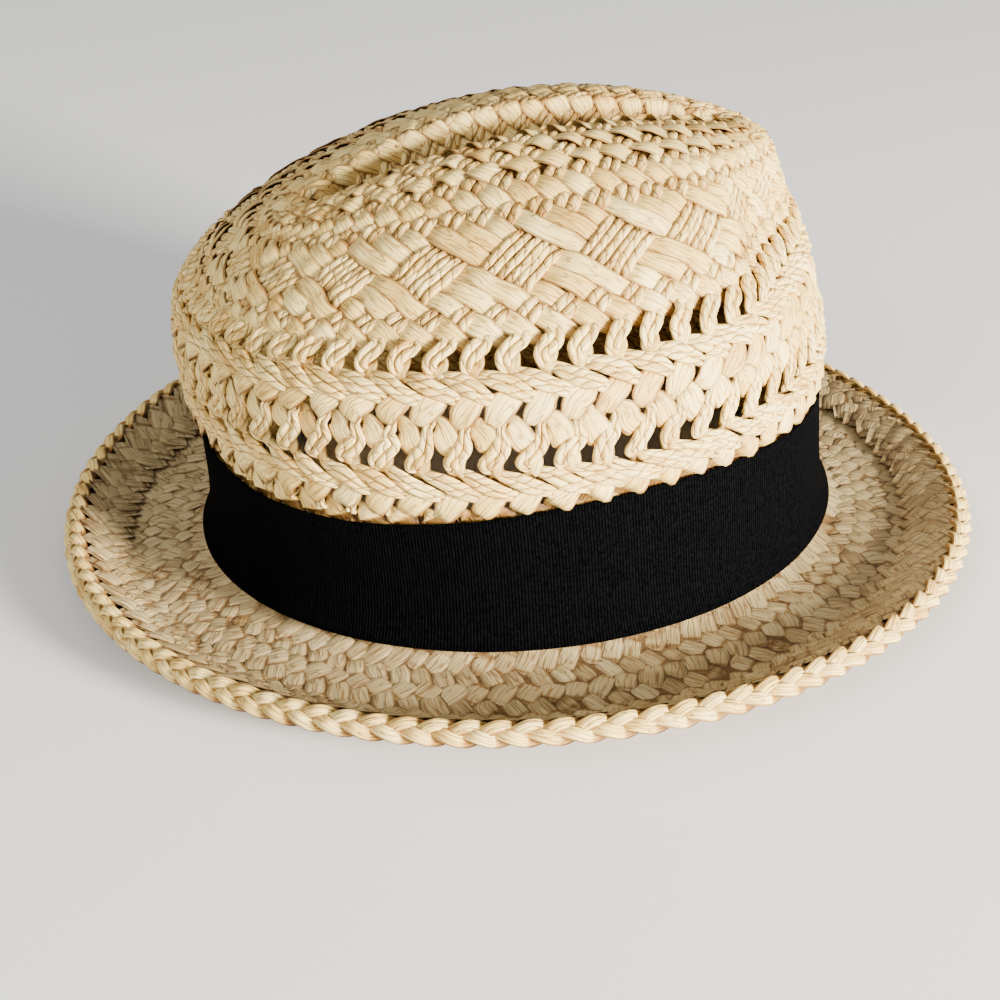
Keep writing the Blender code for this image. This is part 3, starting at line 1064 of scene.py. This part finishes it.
BAND_LOW = 7.7
BAND_STEPS = 18
BAND_ANGLES = 360
BAND_THICKNESS = 0.5
# How far its outer face stands out from the wall, and how much more at its two edges.
BAND_PROUD = 0.65
BAND_EDGE_PROUD = 0.2
BAND_EDGE_STEPS = 1.2
# Ripples of the face: height, count around and where they start. The foot has this share of them.
BAND_RIPPLES = ((0.16, 7, 1.0), (0.12, 17, 0.0))
BAND_FOOT_RIPPLE = 0.3
# The ribbon covers this much more than the line of its upper edge.
BAND_TOP_MARGIN = 0.9
BAND_FLARE = 1.6
BAND_FLARE_RISE = 3.0


def build_band():
    turn = np.linspace(0, FULL_TURN, BAND_ANGLES, endpoint=False)[:, None]
    part = np.linspace(0, 1, BAND_STEPS)[None, :]
    height = BAND_LOW + (band_top(turn) + BAND_TOP_MARGIN - BAND_LOW) * part
    point, out = CROWN.at(turn + 0 * height, wall_level(height))
    point[..., 2] = height
    ripple = sum(high * np.sin(count * turn + start) for high, count, start in BAND_RIPPLES)
    edge = np.exp(-np.minimum(part, 1 - part) * BAND_STEPS / BAND_EDGE_STEPS)
    flare = BAND_FLARE * np.exp(-(height - BAND_LOW) / BAND_FLARE_RISE)
    ripple_share = BAND_FOOT_RIPPLE + (1 - BAND_FOOT_RIPPLE) * part
    proud = BAND_PROUD + BAND_EDGE_PROUD * edge + flare + ripple * ripple_share
    rings = closed_layer(point + out * proud[..., None], point + out * (proud[..., None] - BAND_THICKNESS))
    span = np.linspace(0, BAND_TOP - BAND_LOW, BAND_STEPS)
    around = np.concatenate([span, span[::-1], span[:1]])
    shade = np.ones((1, rings.shape[1]))
    cloth = ribbon_material()
    piece = strand_mesh("ribbon_band", rings, around, PLAIN_TINT, shade, True, cloth)
    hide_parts("hat_band")


# Camera, floor and light, in metres

FLOOR_HALF_SIZE = 6.0
FLOOR_DROP = 0.0002
FLOOR_TONE = (0.93, 0.93, 0.93)
FLOOR_ROUGHNESS, FLOOR_SPECULAR = 0.9, 0.1
SKY_TONE = (0.96, 0.98, 1.0)
SKY_STRENGTH = 0.45
LIGHT_AIM = (0, 0, 0.05)
# Each light: name, place, size, power, colour.
LIGHTS = (
    ("key", (-1.49, -0.80, 0.34), 0.45, 180, (1.0, 0.94, 0.84)),
    ("fill", (-0.6, 1.5, 1.2), 1.2, 22, (1.0, 0.97, 0.93)),
)


def build_camera():
    a, e, roll = math.radians(AZIMUTH), math.radians(ELEVATION), math.radians(ROLL)
    back = np.array([math.sin(a) * math.cos(e), -math.cos(a) * math.cos(e), math.sin(e)])
    right = np.cross([0, 0, 1], back)
    right /= np.linalg.norm(right)
    up = np.cross(back, right)
    right, up = math.cos(roll) * right + math.sin(roll) * up, math.cos(roll) * up - math.sin(roll) * right
    data = bpy.data.cameras.new("camera")
    data.sensor_width = SENSOR
    data.lens = FOCAL_PIXELS / IMAGE_PIXELS * SENSOR
    data.shift_x = -SHIFT_RIGHT / IMAGE_PIXELS
    data.shift_y = SHIFT_DOWN / IMAGE_PIXELS
    data.clip_start = NEAREST
    camera = bpy.data.objects.new("camera", data)
    place = back * DISTANCE * MM
    camera.matrix_world = Matrix([[right[k], up[k], back[k], place[k]] for k in range(3)] + [[0, 0, 0, 1]])
    bpy.context.scene.collection.objects.link(camera)
    bpy.context.scene.camera = camera


def build_floor():
    s = FLOOR_HALF_SIZE
    mesh = bpy.data.meshes.new("floor")
    mesh.from_pydata([(-s, -s, 0), (s, -s, 0), (s, s, 0), (-s, s, 0)], [], [(0, 1, 2, 3)])
    paper = Shading("floor_paper", FLOOR_ROUGHNESS, FLOOR_SPECULAR)
    paper.sockets["Base Color"].default_value = (*FLOOR_TONE, 1.0)
    mesh.materials.append(paper.material)
    floor = bpy.data.objects.new("floor", mesh)
    floor.location.z = -FLOOR_DROP
    bpy.context.scene.collection.objects.link(floor)


def build_light():
    world = bpy.data.worlds.new("studio")
    world.use_nodes = True
    sky = world.node_tree.nodes["Background"].inputs
    sky["Color"].default_value = (*SKY_TONE, 1.0)
    sky["Strength"].default_value = SKY_STRENGTH
    bpy.context.scene.world = world
    for name, place, size, power, colour in LIGHTS:
        data = bpy.data.lights.new(name, "AREA")
        data.size = size
        data.energy = power
        data.color = colour
        lamp = bpy.data.objects.new(name, data)
        lamp.location = place
        lamp.rotation_euler = (Vector(place) - Vector(LIGHT_AIM)).to_track_quat("Z", "Y").to_euler()
        bpy.context.scene.collection.objects.link(lamp)


build_camera()
build_crown()
build_brim()
build_rim()
build_band()
build_floor()
build_light()
